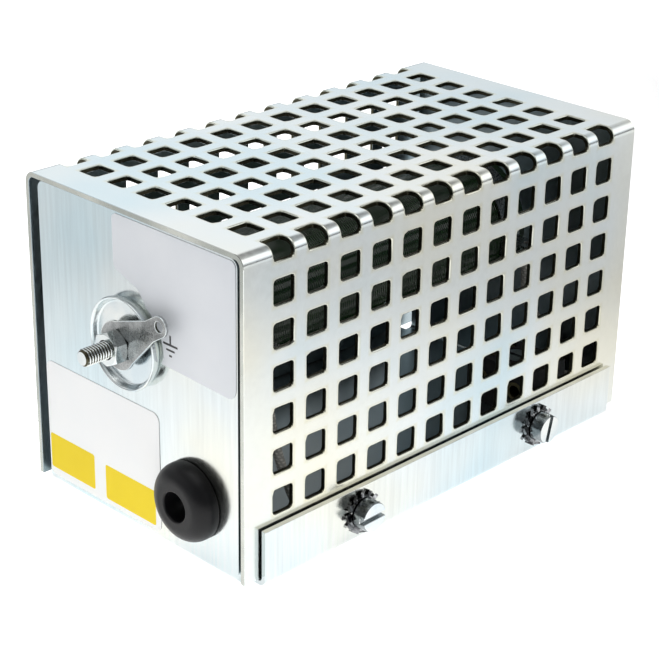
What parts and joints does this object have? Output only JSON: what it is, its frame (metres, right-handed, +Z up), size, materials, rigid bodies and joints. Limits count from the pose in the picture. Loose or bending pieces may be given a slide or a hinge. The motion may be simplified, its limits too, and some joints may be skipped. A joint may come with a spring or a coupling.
{
  "type": "enclosure heater",
  "caption": "Enclosure heater: a tubular enamelled element under a folded perforated cover, on a folded sheet base with an earth stud and a cable grommet.",
  "frame": {"origin": "on the underside of the base, in the middle of its four fixing holes", "axes": "+X across the width towards the cable grommet's side, +Y along the length from the earth stud's end to the rear, +Z up"},
  "size_m": [0.082, 0.145, 0.076],
  "materials": {
    "cover_zinc": "bright zinc plate",
    "base_zinc": "bright zinc plate",
    "bright_zinc": "bright zinc plate",
    "dark_steel": "dark spring steel",
    "tinned": "tinned",
    "black_rubber": "satin moulded rubber",
    "green_enamel": "dark vitreous enamel",
    "mica": "pressed mica",
    "block_moulding": "moulded",
    "brass": "turned",
    "lead_sleeve": "woven glass sleeve"
  },
  "bodies": {
    "root": {"cover": "cover_zinc", "base": "base_zinc", "cover_screws": "bright_zinc", "lock_washers": "dark_steel", "press_nuts": "bright_zinc", "grommet": "black_rubber", "tie_rod": "bright_zinc", "hex_nuts": "bright_zinc", "plain_washers": "bright_zinc", "spring_washers": "dark_steel", "cup_washer": "bright_zinc", "earth_tag": "tinned", "element": "green_enamel", "terminal_bands": "tinned", "mica_washers": "mica", "centring_washers": "bright_zinc", "terminal_block": "block_moulding", "terminal_tubes": "brass", "clamp_screws": "brass", "block_screw": "bright_zinc", "front_lead": "lead_sleeve", "rear_lead": "lead_sleeve"}
  },
  "joints": []
}
